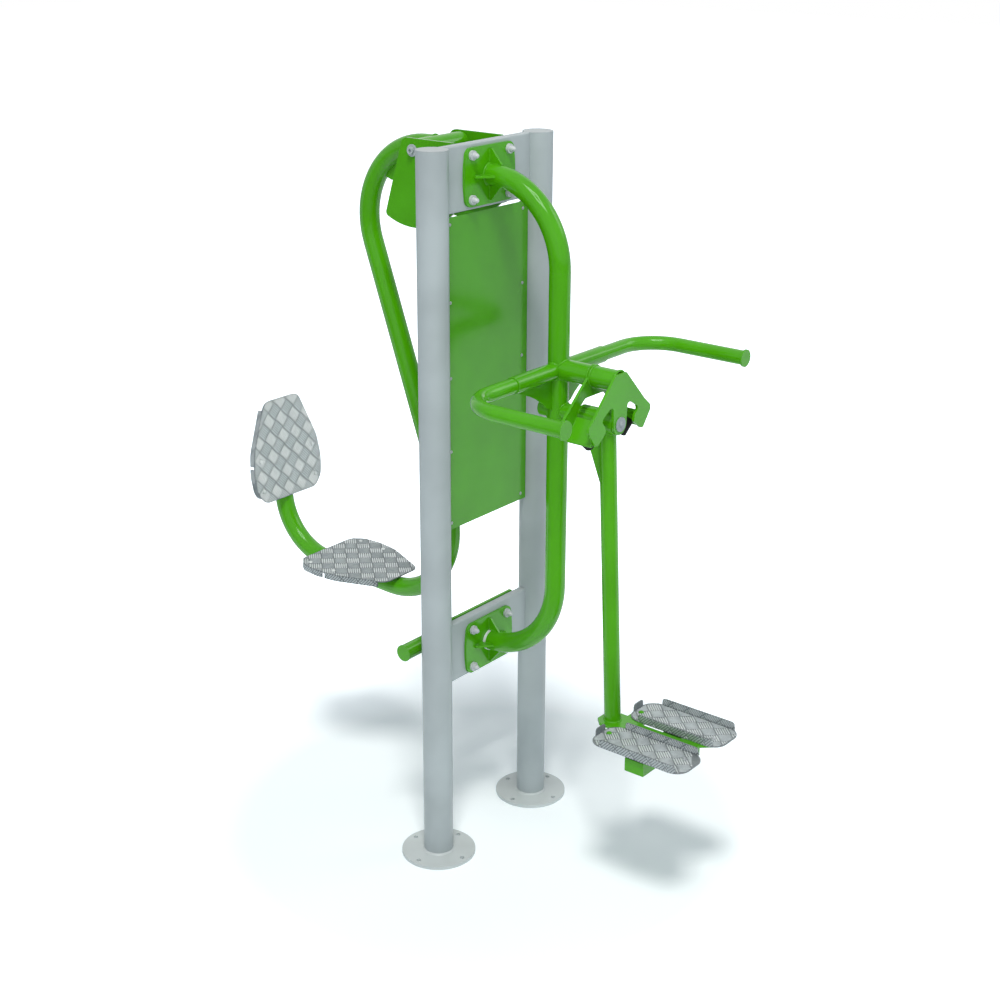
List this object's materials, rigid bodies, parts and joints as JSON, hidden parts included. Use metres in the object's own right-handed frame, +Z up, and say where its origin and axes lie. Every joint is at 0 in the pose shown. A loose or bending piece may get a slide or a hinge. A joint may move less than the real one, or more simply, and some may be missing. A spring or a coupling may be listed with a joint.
{
  "type": "outdoor exercise station",
  "caption": "Two-sided outdoor exercise station: a side-swinging standing pendulum and a swinging press seat with foot bar on a pair of round posts.",
  "frame": {"origin": "on the ground, midway between the two posts, at the centre of the rectangle of inner-line anchor holes", "axes": "+X across the posts, -Y towards the standing pendulum, +Y towards the press seat, +Z up"},
  "size_m": [0.913, 1.7243, 2.138],
  "materials": {
    "green_paint": "semi-gloss powder coat",
    "grey_paint": "semi-gloss powder coat",
    "panel_paint": "smooth sheet, semi-gloss",
    "zinc_steel": "zinc plated",
    "shaft_steel": "ground",
    "grey_plastic": "smooth",
    "black_rubber": "matt",
    "bush_plastic": "matt",
    "tread_aluminium": "rolled five-bar tread"
  },
  "bodies": {
    "frame": {"left_post": "grey_paint", "right_post": "grey_paint", "post_caps": "grey_paint", "left_flange": "grey_paint", "right_flange": "grey_paint", "upper_crossplate": "grey_paint", "lower_crossplate": "grey_paint", "info_panel": "panel_paint", "panel_rails": "grey_paint", "panel_screws": "zinc_steel", "upper_front_plate": "green_paint", "lower_front_plate": "green_paint", "front_tube": "green_paint", "plate_gussets": "green_paint", "tube_ring": "grey_paint", "plate_bolts": "zinc_steel", "bolt_caps": "grey_plastic", "bolt_nuts": "zinc_steel", "left_handlebar": "green_paint", "right_handlebar": "green_paint", "handle_caps": "green_paint", "left_sleeve": "green_paint", "right_sleeve": "green_paint", "handle_webs": "green_paint", "bracket_tube": "green_paint", "front_bracket": "green_paint", "rear_bracket": "green_paint", "stop_plates": "green_paint", "stop_buffers": "black_rubber", "pivot_beam": "green_paint", "pivot_shaft": "shaft_steel", "pivot_cover": "grey_paint", "upper_back_plate": "green_paint", "lower_back_plate": "green_paint", "left_cheek": "green_paint", "right_cheek": "green_paint", "seat_shaft": "shaft_steel", "seat_shaft_ends": "grey_paint", "rest_bar": "green_paint", "rest_sleeve": "black_rubber", "foot_bar": "green_paint", "foot_bar_caps": "green_paint", "foot_bar_stub": "green_paint"},
    "pendulum": {"swing_hub": "green_paint", "hub_bushes": "bush_plastic", "pendulum_arm": "green_paint", "arm_web": "green_paint", "arm_base": "green_paint", "foot_crossbar": "green_paint", "left_foot_plate": "tread_aluminium", "right_foot_plate": "tread_aluminium", "foot_bolts": "zinc_steel"},
    "seat_swing": {"seat_hub": "green_paint", "seat_bushes": "bush_plastic", "swing_arm": "green_paint", "swing_web": "green_paint", "seat_plate": "tread_aluminium", "backrest_plate": "tread_aluminium", "plate_carriers": "green_paint", "seat_screws": "zinc_steel"}
  },
  "joints": [
    {"name": "pendulum_swing", "type": "hinge", "parent": "frame", "child": "pendulum", "pos_m": [0, -0.4, 1.414], "axis": [0, 1, 0], "range_deg": [-40, 40]},
    {"name": "seat_swing_hinge", "type": "hinge", "parent": "frame", "child": "seat_swing", "pos_m": [0, 0.176, 2.104], "axis": [1, 0, 0], "range_deg": [0, 35]}
  ]
}
